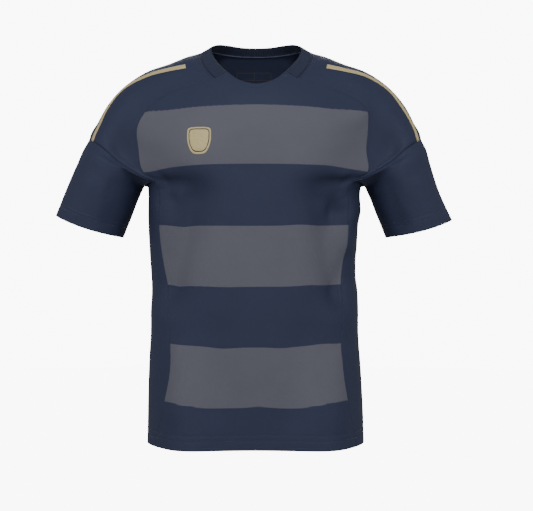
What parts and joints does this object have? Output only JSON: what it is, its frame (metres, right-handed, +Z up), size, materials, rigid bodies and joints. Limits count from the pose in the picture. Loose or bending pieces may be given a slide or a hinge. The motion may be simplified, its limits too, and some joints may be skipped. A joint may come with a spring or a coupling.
{
  "type": "sports jersey",
  "caption": "Short-sleeved crew-neck sports jersey with raglan shoulders and side panels, worn shape, hollow and open at neck, cuffs and hem.",
  "frame": {"origin": "on the neck's axis, level with the shoulders beside the collar, where the wearer's shoulders hold the jersey", "axes": "+Z up, the front faces -Y, the wearer's left sleeve is on the +X side"},
  "size_m": [0.7114, 0.2545, 0.72],
  "materials": {
    "navy_knit": "smooth polyester interlock knit, faint sheen",
    "navy_rib": "fine rib knit, matt",
    "gold_tape": "flat woven tape, faint sheen"
  },
  "bodies": {
    "root": {"front_panel": "navy_knit", "back_panel": "navy_knit", "side_panel_left": "navy_knit", "side_panel_right": "navy_knit", "shoulder_panel_left": "navy_knit", "shoulder_panel_right": "navy_knit", "sleeve_left": "navy_knit", "sleeve_right": "navy_knit", "collar_rib": "navy_rib", "shoulder_band_left": "gold_tape", "shoulder_band_right": "gold_tape"}
  },
  "joints": []
}
